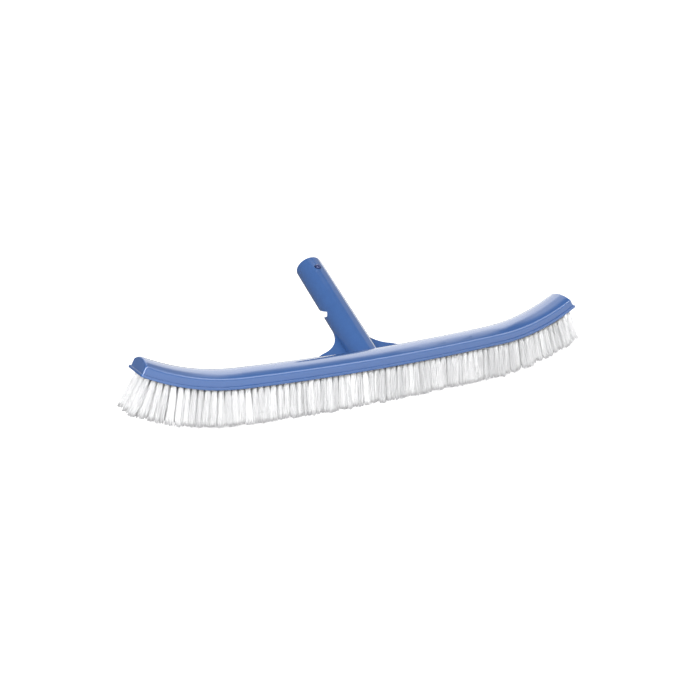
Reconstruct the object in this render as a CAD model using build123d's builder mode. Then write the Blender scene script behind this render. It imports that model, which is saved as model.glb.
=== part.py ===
from build123d import *
from math import atan2, cos, degrees, radians, sin
import os

os.makedirs("parts", exist_ok=True)

# X runs along the brush, Y towards the pole and Z up from the bristle tips. All lengths are in mm.

# Back: a bar that bends gently along its middle and more tightly towards each end, away from the bristles
GENTLE_RADIUS = 2775.0
GENTLE_REACH = 137.0
TIGHT_RADIUS = 213.5
BACK_REACH = 232.9
BRISTLE_REACH = 34.5
# Places the origin under the middle of the whole brush, spigot included
BACK_SETBACK = -58.69

# Flange that runs round the foot of the back
FLANGE_WIDTH = 34.5
FLANGE_THICKNESS = 2.6
FLANGE_EDGE_RADIUS = 0.5
FLANGE_CORNER_RADIUS = 1.6
END_LIP = 1.0

# Block above the flange: drafted sides, rounded shoulders and a domed top
BLOCK_FOOT_WIDTH = 31.6
BLOCK_SHOULDER_WIDTH = 30.8
DOME_EDGE_HEIGHT = 9.5
CROWN_HEIGHT = 13.8
SHOULDER_RADIUS = 3.0
END_RADIUS = 1.8

# Spigot for the pole: a tube that leans back over the flange, with a straight land between two faint tapers
SPIGOT_LEAN = 59.35
SPIGOT_FOOT = (0, 28.26, 11.54)
SPIGOT_LENGTH = 116.0
SPIGOT_ROOT = -45.0
SPIGOT_RADIUS = 13.7
ROOT_RADIUS = 13.95
MOUTH_RADIUS = 13.55
LAND_START = 69.0
LAND_END = 94.0
BORE_RADIUS = 11.4
BORE_FLOOR = 14.0
MOUTH_OUTER_ROUND = 0.9
MOUTH_INNER_ROUND = 0.6
HEEL_HEIGHT = 2.0

# Wings that brace the spigot, in the plane of its axis
WING_TOP = -2.8
WING_THICKNESS = 3.0
WING_START = (12.4, 31.4)
WING_WAIST = (22.0, 7.7)
WING_KNEE = (37.0, -0.9)
WING_TAIL = (66.0, -14.5)
WING_ROOT = -17.0

# Notch that crosses the underside of the spigot
NOTCH_INNER = (64.2, 36.3)
NOTCH_TILT = -13.0
NOTCH_DEPTH = 34.0
NOTCH_INNER_WIDTH = 4.4
NOTCH_OUTER_WIDTH = 10.5
NOTCH_CORNER_RADIUS = 1.6

# Spring clip: a bent strip whose two legs each carry a button
BUTTON_HOLE_RADIUS = 3.4
BUTTON_STATION = 100.3
BUTTON_RADIUS = 2.8
BUTTON_TOP = 15.3
BUTTON_EDGE_RADIUS = 1.5
BUTTON_OFFSET = -0.2
STRIP_WIDTH = 9.0
STRIP_THICKNESS = 0.9
PAD_HEIGHT = 9.75
PAD_START = 94.5
PAD_END = 105.5
LEG_ROOT = 60.0
LEG_ROOT_HEIGHT = 4.4
FLEX_GAP = 0.06
RIVET_RADIUS = 1.4
RIVET_HEAD_RADIUS = 2.3
RIVET_HEAD_HEIGHT = 0.9
RIVET_CLEARANCE = 0.05

# Tufts: staggered rows, each tuft folded round a flat wire anchor at the bottom of its hole
ROW_COUNT = 5
ROW_SPACING = 5.9
TUFT_PITCH = 6.16
TUFTS_IN_LONG_ROW = 74
TUFT_LEAN_SHARE = 0.7
HOLE_RADIUS = 2.2
HOLE_DEPTH = 7.4
HOLE_OVERSHOOT = 1.5
TUFT_ROOT_RADIUS = 1.95
TUFT_TIP_RADIUS = 2.75
TUFT_ROOT_GAP = 0.1
ANCHOR_WIDTH = 4.9
ANCHOR_HEIGHT = 1.8
ANCHOR_THICKNESS = 0.45
ANCHOR_STATION = 4.8

# Middle of the flat bristle face
FACE_CENTRE = Vector(0, BACK_SETBACK, BRISTLE_REACH)


def curve_plane(distance, across=0.0):
    """Plane square to the back's curve: local x points along +Y, local y away from the bristles."""
    side = 1 if distance >= 0 else -1
    gentle = min(abs(distance), GENTLE_REACH) / GENTLE_RADIUS
    turn = gentle + max(abs(distance) - GENTLE_REACH, 0.0) / TIGHT_RADIUS
    along = GENTLE_RADIUS * sin(gentle) + TIGHT_RADIUS * (sin(turn) - sin(gentle))
    rise = GENTLE_RADIUS * (1 - cos(gentle)) + TIGHT_RADIUS * (cos(gentle) - cos(turn))
    tangent = Vector(cos(turn), 0, side * sin(turn))
    origin = FACE_CENTRE + Vector(side * along, across, rise)
    return Plane(origin=origin, x_dir=(0, 1, 0), z_dir=tangent)


def sweep_both_ways(section_at, reach):
    """Carry a section along the back's curve to the same distance each side of the middle."""
    gentle_angle = degrees(GENTLE_REACH / GENTLE_RADIUS)
    tight_angle = degrees((reach - GENTLE_REACH) / TIGHT_RADIUS)
    gentle_centre = FACE_CENTRE + Vector(0, 0, GENTLE_RADIUS)
    start = section_at(curve_plane(-GENTLE_REACH))
    revolve(start, axis=Axis(gentle_centre, (0, -1, 0)), revolution_arc=2 * gentle_angle)
    for side in (-1, 1):
        joint = curve_plane(side * GENTLE_REACH)
        tight_centre = joint.origin + joint.y_dir * TIGHT_RADIUS
        revolve(section_at(joint), axis=Axis(tight_centre, (0, -side, 0)), revolution_arc=tight_angle)


def block_section(plane):
    """Drafted sides, rounded shoulders and a domed top."""
    foot = BLOCK_FOOT_WIDTH / 2
    shoulder = BLOCK_SHOULDER_WIDTH / 2
    with BuildSketch(plane) as section:
        with BuildLine():
            Polyline((-shoulder, DOME_EDGE_HEIGHT), (-foot, 0), (foot, 0), (shoulder, DOME_EDGE_HEIGHT))
            ThreePointArc((-shoulder, DOME_EDGE_HEIGHT), (0, CROWN_HEIGHT), (shoulder, DOME_EDGE_HEIGHT))
        make_face()
        fillet(section.vertices().group_by(Axis.Y)[-1], radius=SHOULDER_RADIUS)
    return section.sketch


def flange_section(plane):
    """Flat strip standing on the bristle face."""
    with BuildSketch(plane) as section:
        with Locations((0, FLANGE_THICKNESS / 2)):
            Rectangle(FLANGE_WIDTH, FLANGE_THICKNESS)
    return section.sketch


lean = radians(SPIGOT_LEAN)
spigot_direction = Vector(0, sin(lean), cos(lean))
spigot_upper = Vector(0, -cos(lean), sin(lean))
spigot_base = FACE_CENTRE + Vector(*SPIGOT_FOOT)


def spigot_section(station):
    """Plane square to the spigot's axis: local x along -X, local y towards the spigot's upper side."""
    origin = spigot_base + spigot_direction * station
    return Plane(origin=origin, x_dir=(-1, 0, 0), z_dir=spigot_direction)


# Vertical plane through the spigot's axis: local x along the spigot, local y towards its upper side
spigot_side = Plane(origin=spigot_base, x_dir=spigot_direction, z_dir=(1, 0, 0))
# Plane of the spigot's axis and the brush's length: local x along the brush, local y along the spigot
wing_plane = Plane(origin=spigot_base, x_dir=(1, 0, 0), z_dir=spigot_upper)
# Vertical plane through the middle, at the notch's inner end: local x runs out of the notch
notch_plane = Plane(
    origin=FACE_CENTRE + Vector(0, *NOTCH_INNER),
    x_dir=(0, cos(radians(NOTCH_TILT)), sin(radians(NOTCH_TILT))),
    z_dir=(1, 0, 0),
)
button_centre = spigot_base + spigot_direction * BUTTON_STATION


def tuft_rows():
    """Centre distance of every tuft along the curve, row by row, with each row's place across the back."""
    rows = []
    for row in range(ROW_COUNT):
        count = TUFTS_IN_LONG_ROW - row % 2
        across = (row - (ROW_COUNT - 1) / 2) * ROW_SPACING
        distances = [(place - (count - 1) / 2) * TUFT_PITCH for place in range(count)]
        rows.append((across, distances))
    return rows


def tuft_locations(across, distances, depth):
    """Locations on the tufts' axes, at a depth past the face, with local z pointing into the back."""
    locations = []
    for distance in distances:
        side = 1 if distance >= 0 else -1
        # Towards each end the tufts lean out less than the back does
        turn = side * min(abs(distance), GENTLE_REACH) / GENTLE_RADIUS
        turn += side * TUFT_LEAN_SHARE * max(abs(distance) - GENTLE_REACH, 0.0) / TIGHT_RADIUS
        inward = Vector(-sin(turn), 0, cos(turn))
        along = Vector(cos(turn), 0, sin(turn))
        origin = curve_plane(distance, across).origin + inward * depth
        locations.append(Plane(origin=origin, x_dir=along, z_dir=inward).location)
    return locations


with BuildPart() as flange:
    sweep_both_ways(flange_section, BACK_REACH)
    for end_face in (flange.faces().sort_by(Axis.X)[0], flange.faces().sort_by(Axis.X)[-1]):
        fillet(end_face.edges().sort_by(SortBy.LENGTH)[:2], radius=FLANGE_CORNER_RADIUS)
    # Each rounding carries on along the whole outline
    fillet(flange.faces().sort_by(Axis.X)[0].edges().sort_by(SortBy.LENGTH)[-2:], radius=FLANGE_EDGE_RADIUS)

with BuildPart() as back:
    with BuildSketch(spigot_side):
        with BuildLine():
            Polyline(
                (SPIGOT_ROOT, 0),
                (SPIGOT_ROOT, ROOT_RADIUS),
                (LAND_START, SPIGOT_RADIUS),
                (LAND_END, SPIGOT_RADIUS),
                (SPIGOT_LENGTH, MOUTH_RADIUS),
                (SPIGOT_LENGTH, 0),
                close=True,
            )
        make_face()
    revolve(axis=Axis(spigot_base, spigot_direction))
    with BuildSketch(wing_plane.offset(WING_TOP)) as wing:
        with BuildLine():
            Polyline((0, WING_START[1]), WING_START)
            ThreePointArc(WING_START, WING_WAIST, WING_KNEE)
            Polyline(WING_KNEE, WING_TAIL, (WING_TAIL[0], WING_ROOT), (0, WING_ROOT), (0, WING_START[1]))
        make_face()
        mirror(about=Plane.YZ)
    extrude(amount=-WING_THICKNESS)
    # One flat heel under the spigot and its wings, level with the flange
    split(bisect_by=Plane.XY.offset(BRISTLE_REACH + HEEL_HEIGHT), keep=Keep.TOP)
    sweep_both_ways(block_section, BACK_REACH - END_LIP)
    for end_face in (back.faces().sort_by(Axis.X)[0], back.faces().sort_by(Axis.X)[-1]):
        fillet(end_face.edges().sort_by(Axis.Z)[1:], radius=END_RADIUS)
    add(flange.part)
    mouth = back.faces().sort_by(Axis(spigot_base, spigot_direction))[-1]
    fillet(mouth.edges(), radius=MOUTH_OUTER_ROUND)
    with BuildSketch(spigot_section(SPIGOT_LENGTH)):
        Circle(BORE_RADIUS)
    extrude(amount=BORE_FLOOR - SPIGOT_LENGTH, mode=Mode.SUBTRACT)
    mouth = back.faces().sort_by(Axis(spigot_base, spigot_direction))[-1]
    fillet(mouth.edges().sort_by(SortBy.RADIUS)[0], radius=MOUTH_INNER_ROUND)
    with BuildSketch(Plane(origin=button_centre, x_dir=(1, 0, 0), z_dir=spigot_upper)):
        Circle(BUTTON_HOLE_RADIUS)
    extrude(amount=2 * ROOT_RADIUS, both=True, mode=Mode.SUBTRACT)
    with BuildSketch(notch_plane) as notch:
        with BuildLine():
            Polyline(
                (0, NOTCH_INNER_WIDTH / 2),
                (0, -NOTCH_INNER_WIDTH / 2),
                (NOTCH_DEPTH, -NOTCH_OUTER_WIDTH / 2),
                (NOTCH_DEPTH, NOTCH_OUTER_WIDTH / 2),
                close=True,
            )
        make_face()
        fillet(notch.vertices().sort_by(Axis.X)[:2], radius=NOTCH_CORNER_RADIUS)
    extrude(amount=2 * ROOT_RADIUS, both=True, mode=Mode.SUBTRACT)
    hole_locations = []
    for across, distances in tuft_rows():
        hole_locations += tuft_locations(across, distances, -HOLE_OVERSHOOT)
    with Locations(*hole_locations):
        Cylinder(
            HOLE_RADIUS,
            HOLE_OVERSHOOT + HOLE_DEPTH,
            align=(Align.CENTER, Align.CENTER, Align.MIN),
            mode=Mode.SUBTRACT,
        )

back.part.label = "back_moulding"
export_step(back.part, "parts/back_moulding.step")

leg_slope = atan2(PAD_HEIGHT - LEG_ROOT_HEIGHT, PAD_START - LEG_ROOT)
bow_radius = LEG_ROOT_HEIGHT / cos(leg_slope)
bow_centre = LEG_ROOT + bow_radius * sin(leg_slope)

with BuildPart() as clip_bow:
    with BuildSketch(spigot_side):
        with BuildLine():
            ThreePointArc(
                (LEG_ROOT, LEG_ROOT_HEIGHT), (bow_centre - bow_radius, 0), (LEG_ROOT, -LEG_ROOT_HEIGHT)
            )
        trace(line_width=STRIP_THICKNESS)
    extrude(amount=STRIP_WIDTH / 2, both=True)

clip_bow.part.label = "clip_bow"
export_step(clip_bow.part, "parts/clip_bow.step")

for side, name in ((1, "upper"), (-1, "lower")):
    button_origin = button_centre + spigot_direction * BUTTON_OFFSET
    button_plane = Plane(origin=button_origin, x_dir=(1, 0, 0), z_dir=spigot_upper * side)
    pad_inside = PAD_HEIGHT - STRIP_THICKNESS / 2
    pad_outside = PAD_HEIGHT + STRIP_THICKNESS / 2

    with BuildPart() as leg:
        with BuildSketch(spigot_side):
            with BuildLine():
                Polyline(
                    (LEG_ROOT + FLEX_GAP, side * (LEG_ROOT_HEIGHT + FLEX_GAP * sin(leg_slope))),
                    (PAD_START, side * PAD_HEIGHT),
                    (PAD_END, side * PAD_HEIGHT),
                )
            trace(line_width=STRIP_THICKNESS)
        extrude(amount=STRIP_WIDTH / 2, both=True)
        with BuildSketch(button_plane):
            Circle(RIVET_RADIUS + RIVET_CLEARANCE)
        extrude(amount=SPIGOT_RADIUS, mode=Mode.SUBTRACT)

    leg.part.label = f"clip_leg_{name}"
    export_step(leg.part, f"parts/clip_leg_{name}.step")

    with BuildPart() as button:
        with BuildSketch(button_plane.offset(pad_inside - RIVET_HEAD_HEIGHT)):
            Circle(RIVET_HEAD_RADIUS)
        extrude(amount=RIVET_HEAD_HEIGHT)
        with BuildSketch(button_plane.offset(pad_inside)):
            Circle(RIVET_RADIUS)
        extrude(amount=STRIP_THICKNESS)
        with BuildSketch(button_plane.offset(pad_outside)):
            Circle(BUTTON_RADIUS)
        extrude(amount=BUTTON_TOP - pad_outside)
        crown = button.faces().sort_by(Axis(button_origin, spigot_upper * side))[-1]
        fillet(crown.edges(), radius=BUTTON_EDGE_RADIUS)

    button.part.label = f"button_{name}"
    export_step(button.part, f"parts/button_{name}.step")

for row_number, (across, distances) in enumerate(tuft_rows(), start=1):
    halves = {
        "left": [distance for distance in distances if distance < 0],
        "right": [distance for distance in distances if distance >= 0],
    }
    for half, half_distances in halves.items():
        with BuildPart() as tufts:
            with Locations(*tuft_locations(across, half_distances, -BRISTLE_REACH)):
                Cone(
                    TUFT_TIP_RADIUS,
                    TUFT_ROOT_RADIUS,
                    BRISTLE_REACH + HOLE_DEPTH - TUFT_ROOT_GAP,
                    align=(Align.CENTER, Align.CENTER, Align.MIN),
                )

        tufts.part.label = f"tufts_row_{row_number}_{half}"
        export_step(tufts.part, f"parts/tufts_row_{row_number}_{half}.step")

    with BuildPart() as anchors:
        with Locations(*tuft_locations(across, distances, ANCHOR_STATION)):
            Box(ANCHOR_WIDTH, ANCHOR_THICKNESS, ANCHOR_HEIGHT)

    anchors.part.label = f"tuft_anchors_row_{row_number}"
    export_step(anchors.part, f"parts/tuft_anchors_row_{row_number}.step")
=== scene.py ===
import math

import bpy
import numpy as np
from mathutils import Matrix, Vector


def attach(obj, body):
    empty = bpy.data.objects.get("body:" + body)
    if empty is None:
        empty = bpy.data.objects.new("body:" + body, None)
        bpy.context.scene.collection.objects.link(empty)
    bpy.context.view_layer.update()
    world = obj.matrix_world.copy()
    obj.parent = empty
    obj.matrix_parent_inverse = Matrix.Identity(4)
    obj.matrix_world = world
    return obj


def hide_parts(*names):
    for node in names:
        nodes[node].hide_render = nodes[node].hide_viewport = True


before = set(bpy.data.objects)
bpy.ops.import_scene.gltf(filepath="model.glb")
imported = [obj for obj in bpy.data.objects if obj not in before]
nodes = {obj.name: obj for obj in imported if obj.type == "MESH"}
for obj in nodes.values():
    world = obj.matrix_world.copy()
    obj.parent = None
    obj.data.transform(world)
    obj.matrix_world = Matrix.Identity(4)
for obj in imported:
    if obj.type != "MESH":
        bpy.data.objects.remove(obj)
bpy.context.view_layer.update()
scene = bpy.context.scene

# ---------------------------------------------------------------- sizes, in metres
# The brush face is a gentle arc either side of its middle, then a tighter one up to each end.
FACE_Y, FACE_Z = -0.05869, 0.0345
GENTLE_RADIUS, GENTLE_REACH, TIGHT_RADIUS = 2.775, 0.137, 0.2135
ROWS, ROW_SPACING, TUFT_PITCH, LONG_ROW = 5, 0.0059, 0.00616, 74
LAST_TUFT, OUTER_ROW = (LONG_ROW - 1) / 2 * TUFT_PITCH, (ROWS - 1) / 2 * ROW_SPACING
TUFT_RADIUS, BRISTLE_REACH = 0.00195, 0.0345

# A filament is a thin four-sided rod with a ring of corners at each station. The first two stations are
# in the hole, and the rest stand out of the face.
STRANDS, STRAND_RADIUS, SIDES = 60, 0.00019, 4
STATIONS = np.array((-0.0070, -0.0006, 0.0100, 0.0225, BRISTLE_REACH))
SHARES = np.clip(STATIONS, 0, None) / BRISTLE_REACH
STRAND_POINTS = len(STATIONS) * SIDES

# Tufts lean with this share of the tight arc's tilt. The last few tufts and the outer rows have no
# neighbours to hold them in, so they splay, by up to these slopes.
LEAN_SHARE, SPLAY_LENGTH = 0.7, 0.022
LEFT_SPLAY, RIGHT_SPLAY, EDGE_SPLAY = -0.20, 0.0, 0.05

# A tuft is narrower at the bottom of its hole, by the first share, and a filament's tip flares out by
# one of the range of shares of its place in the tuft.
GATHERED, FLARED = 0.88, (0.35, 1.25)

# The filaments of a tuft cling together in a few locks. Tufts, locks and filaments differ by these
# standard deviations: of a tuft's slope, of how far a tip strays, of a bow, of a cut and of a tone.
LOCKS = 6
TUFT_SLOPE, LOCK_STRAY, STRAND_STRAY, STRAND_BOW = 0.020, 0.0006, 0.0003, 0.0004
TUFT_CUT, STRAND_CUT = 0.0006, 0.0012
MEAN_TONE, LOCK_TONE, STRAND_TONE = 0.6, 0.35, 0.12

FLOOR_REACH = 8

# ---------------------------------------------------------------- camera
# The eye stands to the left in front of the brush and a little above it, and looks right and down.
EYE = Vector((-0.48492, -0.89000, 0.32025))
TURNED, TIPPED, ROLLED = (math.radians(degrees) for degrees in (28.997, 15.771, -0.771))
SENSOR_WIDTH, LENS = 36, 55.278  # millimetres

forward = Vector((
    math.sin(TURNED) * math.cos(TIPPED),
    math.cos(TURNED) * math.cos(TIPPED),
    -math.sin(TIPPED),
))
level_right = Vector((math.cos(TURNED), -math.sin(TURNED), 0))
level_up = level_right.cross(forward)
right = math.cos(ROLLED) * level_right + math.sin(ROLLED) * level_up
up = -math.sin(ROLLED) * level_right + math.cos(ROLLED) * level_up

camera_data = bpy.data.cameras.new("camera")
camera_data.sensor_width, camera_data.lens = SENSOR_WIDTH, LENS
camera_data.clip_start, camera_data.clip_end = 0.05, 50
camera = bpy.data.objects.new("camera", camera_data)
scene.collection.objects.link(camera)
camera.matrix_world = Matrix((
    (right.x, up.x, -forward.x, EYE.x),
    (right.y, up.y, -forward.y, EYE.y),
    (right.z, up.z, -forward.z, EYE.z),
    (0, 0, 0, 1),
))
scene.camera = camera
scene.view_settings.view_transform = "Standard"
scene.view_settings.look = "None"


# ---------------------------------------------------------------- node helpers
class Graph:
    """A material's or world's nodes, wired with short calls."""

    def __init__(self, owner):
        owner.use_nodes = True
        self.tree = owner.node_tree
        self.tree.nodes.clear()

    def add(self, kind, settings=None, **inputs):
        node = self.tree.nodes.new(kind)
        for key, value in (settings or {}).items():
            setattr(node, key, value)
        for key, value in inputs.items():
            self.put(node, key.replace("_", " "), value)
        return node

    def put(self, node, key, value):
        socket = node.inputs[int(key)] if str(key).isdigit() else node.inputs[key]
        if isinstance(value, bpy.types.NodeSocket):
            self.tree.links.new(value, socket)
        else:
            socket.default_value = value

    def math(self, operation, first, second):
        node = self.add("ShaderNodeMath", {"operation": operation})
        self.put(node, 0, first)
        self.put(node, 1, second)
        return node.outputs[0]

    def spread(self, value, low, high, to_low, to_high):
        """Value carried in a straight line from low..high to to_low..to_high, and held at their ends."""
        node = self.add(
            "ShaderNodeMapRange", Value=value, From_Min=low, From_Max=high, To_Min=to_low, To_Max=to_high
        )
        return node.outputs[0]

    def ease(self, value, low, high, to_low, to_high):
        """Like spread, with soft ends."""
        eased = self.spread(value, low, high, to_low, to_high)
        eased.node.interpolation_type = "SMOOTHSTEP"
        return eased

    def where(self):
        """The point on the piece in its own coordinates, in metres."""
        return self.add("ShaderNodeTexCoord").outputs["Object"]

    def stretched(self, where, scale):
        return self.add("ShaderNodeMapping", Vector=where, Scale=scale).outputs[0]

    def noise(self, where, scale, detail, roughness=0.5, distortion=0.0):
        node = self.add(
            "ShaderNodeTexNoise", Vector=where, Scale=scale, Detail=detail,
            Roughness=roughness, Distortion=distortion,
        )
        return node.outputs["Fac"]

    def blend_colour(self, share, first, second):
        node = self.add("ShaderNodeMix", {"data_type": "RGBA"})
        self.put(node, 0, share)
        self.put(node, 6, first)
        self.put(node, 7, second)
        return node.outputs[2]

    def principled(self, colour, rough, height, strength, distance, **constants):
        """A Principled shader with a bump. The constants are set on its own sockets."""
        bump = self.add("ShaderNodeBump", Height=height, Strength=strength, Distance=distance)
        shader = self.add(
            "ShaderNodeBsdfPrincipled", Base_Color=colour, Roughness=rough,
            Normal=bump.outputs[0], **constants,
        )
        return shader.outputs[0]

    def mixed(self, share, first, second):
        """Two shaders mixed, with that share of the second."""
        node = self.add("ShaderNodeMixShader")
        for key, value in enumerate((share, first, second)):
            self.put(node, key, value)
        return node.outputs[0]


# ---------------------------------------------------------------- materials
def material_of(name, fill):
    """A new material whose surface shader is what fill makes in its empty graph."""
    material = bpy.data.materials.new(name)
    graph = Graph(material)
    graph.add("ShaderNodeOutputMaterial", Surface=fill(graph))
    return material


def back_plastic(g):
    """Glossy injection-moulded blue plastic, with faint flow streaks and handling scuffs."""
    where = g.where()
    mottled = g.noise(where, 55, 3)
    streaked = g.noise(g.stretched(where, (14, 190, 190)), 1, 3, 0.6)
    tone = g.math("ADD", g.math("MULTIPLY", mottled, 0.5), g.math("MULTIPLY", streaked, 0.5))
    colour = g.blend_colour(tone, (0.031, 0.080, 0.225, 1), (0.038, 0.097, 0.258, 1))
    scuffs = g.noise(g.stretched(where, (60, 700, 700)), 1, 4, 0.7, 0.3)
    scuffed = g.math("MULTIPLY", g.spread(scuffs, 0.62, 0.85, 0, 1), 0.10)
    rough = g.math("ADD", g.spread(mottled, 0.3, 0.7, 0.08, 0.15), scuffed)
    ripple = g.noise(where, 38, 2)
    grain = g.noise(where, 1500, 2)
    height = g.math("ADD", ripple, g.math("MULTIPLY", grain, 0.02))
    return g.principled(colour, rough, height, 0.12, 0.0012, IOR=1.58)


def bristle_nylon(g):
    """White filament that lets some light through, with painted shade that greys it towards the cut tips.
    """
    where = g.where()
    strand = g.add("ShaderNodeAttribute", {"attribute_name": "strand"}).outputs["Fac"]
    along = g.add("ShaderNodeAttribute", {"attribute_name": "along"}).outputs["Fac"]
    mottled = g.noise(where, 260, 2)
    tone = g.math("ADD", g.math("MULTIPLY", strand, 0.7), g.math("MULTIPLY", mottled, 0.3))
    body = g.blend_colour(tone, (0.72, 0.722, 0.727, 1), (0.95, 0.95, 0.95, 1))
    # Painted shade: the colour is blended to grey over the last stretch of each filament, down to its tip
    tip_shade = g.spread(along, 0.88, 1.0, 0, 1)
    colour = g.blend_colour(tip_shade, body, (0.62, 0.62, 0.625, 1))
    rough = g.spread(mottled, 0.3, 0.7, 0.34, 0.50)
    scratched = g.noise(where, 900, 2)
    surface = g.principled(colour, rough, scratched, 0.1, 0.00005, IOR=1.5)
    filament = g.mixed(0.8, surface, g.add("ShaderNodeBsdfTranslucent", Color=colour).outputs[0])
    # So fine a filament casts only a thin shadow on its neighbours
    thinned = g.math("MULTIPLY", g.add("ShaderNodeLightPath").outputs["Is Shadow Ray"], 0.7)
    return g.mixed(thinned, filament, g.add("ShaderNodeBsdfTransparent").outputs[0])


def clip_steel(g):
    """Rolled spring steel, drawn along the strip."""
    where = g.where()
    drawn = g.noise(g.stretched(where, (2600, 60, 60)), 1, 4, 0.65)
    tarnish = g.noise(where, 90, 4, 0.6)
    colour = g.blend_colour(tarnish, (0.56, 0.565, 0.57, 1), (0.70, 0.70, 0.69, 1))
    rough = g.spread(drawn, 0.25, 0.75, 0.20, 0.42)
    return g.principled(colour, rough, drawn, 0.3, 0.00005, Metallic=1.0)


def button_nylon(g):
    """Mottled navy nylon with a fine grain."""
    where = g.where()
    mottled = g.noise(where, 420, 3)
    colour = g.blend_colour(mottled, (0.010, 0.020, 0.085, 1), (0.016, 0.032, 0.120, 1))
    rough = g.spread(mottled, 0.3, 0.7, 0.24, 0.38)
    grain = g.noise(where, 2400, 2)
    return g.principled(colour, rough, grain, 0.2, 0.0001, IOR=1.5)


def anchor_wire(g):
    """Flat drawn wire that folds each tuft into its hole."""
    drawn = g.noise(g.stretched(g.where(), (80, 3000, 3000)), 1, 3)
    colour = g.blend_colour(drawn, (0.60, 0.58, 0.52, 1), (0.74, 0.72, 0.66, 1))
    rough = g.spread(drawn, 0.3, 0.7, 0.28, 0.45)
    return g.principled(colour, rough, drawn, 0.3, 0.00004, Metallic=1.0)


steel = (material_of("clip_steel", clip_steel), "clip_steel")
navy = (material_of("button_plastic", button_nylon), "button_plastic")
wire = (material_of("anchor_wire", anchor_wire), "anchor_wire")
finishes = {"back_moulding": (material_of("back_plastic", back_plastic), "back_plastic"), "clip_bow": steel}
for side in ("upper", "lower"):
    finishes[f"clip_leg_{side}"] = steel
    finishes[f"button_{side}"] = navy
for row in range(1, ROWS + 1):
    finishes[f"tuft_anchors_row_{row}"] = wire
for name, (material, slot_name) in finishes.items():
    for slot in nodes[name].material_slots:
        slot.material = material


# ---------------------------------------------------------------- bristles
def face_point(distance):
    """x and z on the face this far along it from the middle, and how far a tuft leans there."""
    side, reach = math.copysign(1, distance), abs(distance)
    gentle = min(reach, GENTLE_REACH) / GENTLE_RADIUS
    tight = max(reach - GENTLE_REACH, 0) / TIGHT_RADIUS
    turn = gentle + tight
    x = GENTLE_RADIUS * math.sin(gentle) + TIGHT_RADIUS * (math.sin(turn) - math.sin(gentle))
    z = GENTLE_RADIUS * (1 - math.cos(gentle)) + TIGHT_RADIUS * (math.cos(gentle) - math.cos(turn))
    return side * x, z, side * (gentle + LEAN_SHARE * tight)


def grow_tuft(rng, distance, across):
    """One tuft's points as (ring corner, filament, xyz), and each filament's tone."""
    x, z, lean = face_point(distance)
    down = np.array((math.sin(lean), 0, -math.cos(lean)))
    along_row = np.array((math.cos(lean), 0, math.sin(lean)))
    over_row = np.array((0, 1.0, 0))
    foot = np.array((x, FACE_Y + across, FACE_Z + z))
    near_end = max(0.0, 1 - (LAST_TUFT - abs(distance)) / SPLAY_LENGTH)
    end_splay = LEFT_SPLAY if distance < 0 else RIGHT_SPLAY
    splay = np.array((end_splay * near_end**1.5, EDGE_SPLAY * across / OUTER_ROW))
    tuft_tilt = rng.normal(0, TUFT_SLOPE, 2) + splay

    lock = rng.integers(0, LOCKS, STRANDS)
    lock_tilt = rng.normal(0, LOCK_STRAY, (LOCKS, 2))[lock]
    lock_tone = rng.normal(0, LOCK_TONE, LOCKS)[lock]
    radius = np.sqrt(rng.uniform(0, 1, STRANDS)) * TUFT_RADIUS
    angle = rng.uniform(0, 2 * math.pi, STRANDS)
    start = np.stack((radius * np.cos(angle), radius * np.sin(angle)), 1)
    flare = start * rng.uniform(*FLARED, (STRANDS, 1))
    tilt = tuft_tilt * BRISTLE_REACH + lock_tilt + rng.normal(0, STRAND_STRAY, (STRANDS, 2))
    bow = rng.normal(0, STRAND_BOW, (STRANDS, 2))
    cut = -np.abs(rng.normal(0, STRAND_CUT, STRANDS)) - abs(rng.normal(0, TUFT_CUT))
    tone = np.clip(rng.normal(MEAN_TONE, STRAND_TONE, STRANDS) + lock_tone, 0, 1)

    corners = []
    for station, share in zip(STATIONS, SHARES):
        gather = GATHERED if station == STATIONS[0] else 1.0
        side = start * gather + flare * share**0.6 + tilt * share + bow * math.sin(math.pi * share)
        depth = station + cut * share
        middle = foot + side[:, :1] * along_row + side[:, 1:] * over_row + depth[:, None] * down
        for corner in range(SIDES):
            turn = 2 * math.pi * corner / SIDES
            outward = math.cos(turn) * along_row + math.sin(turn) * over_row
            corners.append(middle + STRAND_RADIUS * outward)
    return np.array(corners), tone


def filament_faces(count):
    """The sides and both ends of that many filaments."""
    one = []
    for near in range(0, STRAND_POINTS - SIDES, SIDES):
        far = near + SIDES
        for corner in range(SIDES):
            after = (corner + 1) % SIDES
            one.append((near + corner, far + corner, far + after, near + after))
    one.append(tuple(range(STRAND_POINTS - SIDES, STRAND_POINTS))[::-1])
    one.append(tuple(range(SIDES)))
    offsets = np.arange(count) * STRAND_POINTS
    return (np.array(one)[None, :, :] + offsets[:, None, None]).reshape(-1, SIDES)


def tuft_mesh(name, distances, across, seed):
    """A bundle of thin bowed filaments at each distance along one row."""
    rng = np.random.default_rng(seed)
    tufts = [grow_tuft(rng, distance, across) for distance in distances]
    points = np.array([corners.transpose(1, 0, 2) for corners, _ in tufts]).reshape(-1, 3)
    filaments = len(tufts) * STRANDS
    mesh = bpy.data.meshes.new(name)
    mesh.from_pydata(points.tolist(), [], filament_faces(filaments).tolist())
    per_point = {
        "strand": np.repeat(np.concatenate([tone for _, tone in tufts]), STRAND_POINTS),
        "along": np.tile(np.repeat(SHARES, SIDES), filaments),
    }
    for label, values in per_point.items():
        mesh.attributes.new(label, "FLOAT", "POINT").data.foreach_set("value", values.astype(np.float32))
    mesh.materials.append(nylon)
    mesh.update()
    return mesh


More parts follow.
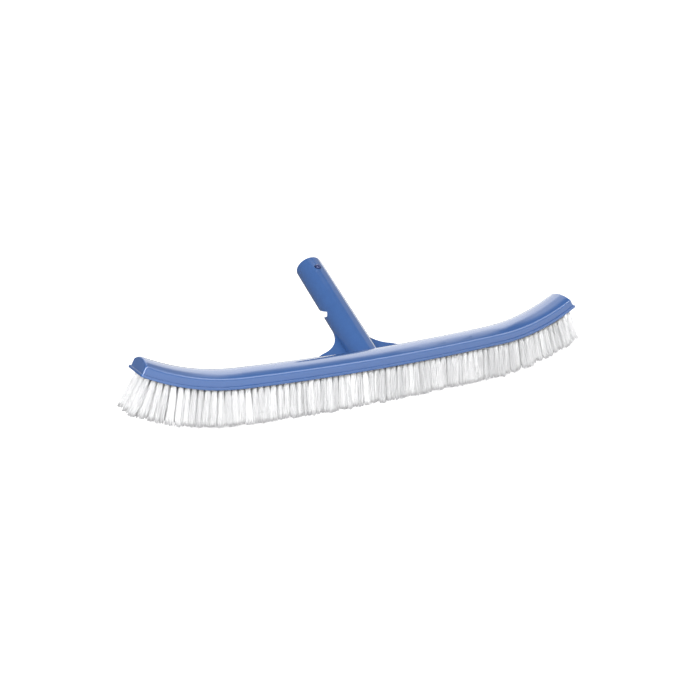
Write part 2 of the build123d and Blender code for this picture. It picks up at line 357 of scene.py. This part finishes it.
nylon = material_of("bristle", bristle_nylon)
for row in range(ROWS):
    across = (row - (ROWS - 1) / 2) * ROW_SPACING
    count = LONG_ROW - row % 2
    distances = [(k - (count - 1) / 2) * TUFT_PITCH for k in range(count)]
    halves = {"left": [d for d in distances if d < 0], "right": [d for d in distances if d >= 0]}
    for seed, (end, chosen) in enumerate(halves.items(), start=100 * row + 4):
        name = f"bristles_row_{row + 1}_{end}"
        piece = bpy.data.objects.new(name, tuft_mesh(name, chosen, across, seed))
        scene.collection.objects.link(piece)
        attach(piece, "brush")
        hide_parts(f"tufts_row_{row + 1}_{end}")


# ---------------------------------------------------------------- floor and light
def light_table(g):
    """A pale floor that glows a little, which lifts the brush's shadow to nearly white.

    Reflections see it bright in front of the brush and dim behind.
    """
    ray = g.add("ShaderNodeLightPath")
    glow = g.math("ADD", g.math("MULTIPLY", ray.outputs["Is Camera Ray"], 0.85), 0.1)
    table = g.add("ShaderNodeAddShader")
    g.put(table, 0, g.add("ShaderNodeBsdfDiffuse", Color=(0.5, 0.5, 0.5, 1)).outputs[0])
    g.put(table, 1, g.add("ShaderNodeEmission", Strength=glow).outputs[0])
    depth = g.add("ShaderNodeSeparateXYZ", Vector=g.where()).outputs["Y"]
    mirrored = g.add("ShaderNodeEmission", Strength=g.spread(depth, -0.25, -0.05, 2.0, 0.3))
    return g.mixed(ray.outputs["Is Glossy Ray"], table.outputs[0], mirrored.outputs[0])


def direction(azimuth, elevation):
    """Unit vector that many degrees round from straight back towards the right, and up."""
    azimuth, elevation = math.radians(azimuth), math.radians(elevation)
    level = math.cos(elevation)
    return (math.sin(azimuth) * level, math.cos(azimuth) * level, math.sin(elevation))


def studio(g):
    """A dim room with a bright backdrop behind the brush to the right, which shows only in reflections.

    What the camera sees directly is plain white.
    """
    gaze = g.add("ShaderNodeTexCoord").outputs["Generated"]
    height = g.add("ShaderNodeSeparateXYZ", Vector=gaze).outputs["Z"]

    def toward(azimuth, elevation, low, high, level):
        """Light that grows smoothly as the gaze turns to a direction, from cosine low to cosine high."""
        facing = g.add("ShaderNodeVectorMath", {"operation": "DOT_PRODUCT"})
        g.put(facing, 0, gaze)
        g.put(facing, 1, direction(azimuth, elevation))
        return g.ease(facing.outputs["Value"], low, high, 0, level)

    level = g.math("MULTIPLY", g.spread(height, 0.2, 0.8, 1.75, 3.6), g.ease(height, 0.64, 0.82, 1, 0))
    backdrop = g.math("MULTIPLY", toward(45, 35, 0.55, 0.85, 1.0), level)
    # A flag at the backdrop's right keeps the spigot's flank blue
    mirrored = g.math("MULTIPLY", backdrop, g.math("SUBTRACT", 1.0, toward(66, 30, 0.914, 0.974, 0.8)))
    # A soft patch above lights the far end of the dome
    mirrored = g.math("ADD", mirrored, toward(10, 60, 0.927, 0.99, 2.0))
    # Small bright patches in front draw light lines along the back's rounded edges
    mirrored = g.math("ADD", mirrored, toward(149, 20, 0.985, 0.998, 2.5))
    mirrored = g.math("ADD", mirrored, toward(168, 30, 0.9925, 0.9976, 30.0))
    mirrored = g.math("ADD", mirrored, toward(233, 22, 0.9925, 0.9976, 25.0))

    ray = g.add("ShaderNodeLightPath")
    room = g.spread(height, -0.1, 1.0, 0.35, 0.25)
    lit_room = g.math("ADD", room, g.math("MULTIPLY", mirrored, ray.outputs["Is Glossy Ray"]))
    strength = g.math("MAXIMUM", g.math("MULTIPLY", ray.outputs["Is Camera Ray"], 1.2), lit_room)
    return g.add("ShaderNodeBackground", Color=(1, 1, 1, 1), Strength=strength).outputs[0]


def softbox(name, place, aim, width, height, power):
    """A rectangular lamp that faces its aim."""
    data = bpy.data.lights.new(name, "AREA")
    data.shape, data.size, data.size_y, data.energy = "RECTANGLE", width, height, power
    lamp = bpy.data.objects.new(name, data)
    scene.collection.objects.link(lamp)
    lamp.location = place
    lamp.rotation_mode = "QUATERNION"
    lamp.rotation_quaternion = (Vector(aim) - Vector(place)).to_track_quat("-Z", "Y")
    return lamp


floor_mesh = bpy.data.meshes.new("floor")
floor_corners = [(x * FLOOR_REACH, y * FLOOR_REACH, 0) for x, y in ((-1, -1), (1, -1), (1, 1), (-1, 1))]
floor_mesh.from_pydata(floor_corners, [], [(0, 1, 2, 3)])
floor_mesh.materials.append(material_of("floor", light_table))
floor = bpy.data.objects.new("floor", floor_mesh)
scene.collection.objects.link(floor)

scene.world = bpy.data.worlds.new("studio")
world_graph = Graph(scene.world)
world_graph.add("ShaderNodeOutputWorld", Surface=studio(world_graph))

softbox("key_box", (-1.19, -1.52, 0.98), (0, -0.03, 0.04), 1.0, 0.8, 64)
softbox("top_box", (0.9, -1.4, 1.5), (0, -0.03, 0.04), 1.4, 1.0, 20)
# Lights the far side, but isn't seen in reflections
softbox("back_box", (0.4, 1.7, 0.9), (0, 0.03, 0.04), 1.4, 1.0, 16).visible_glossy = False
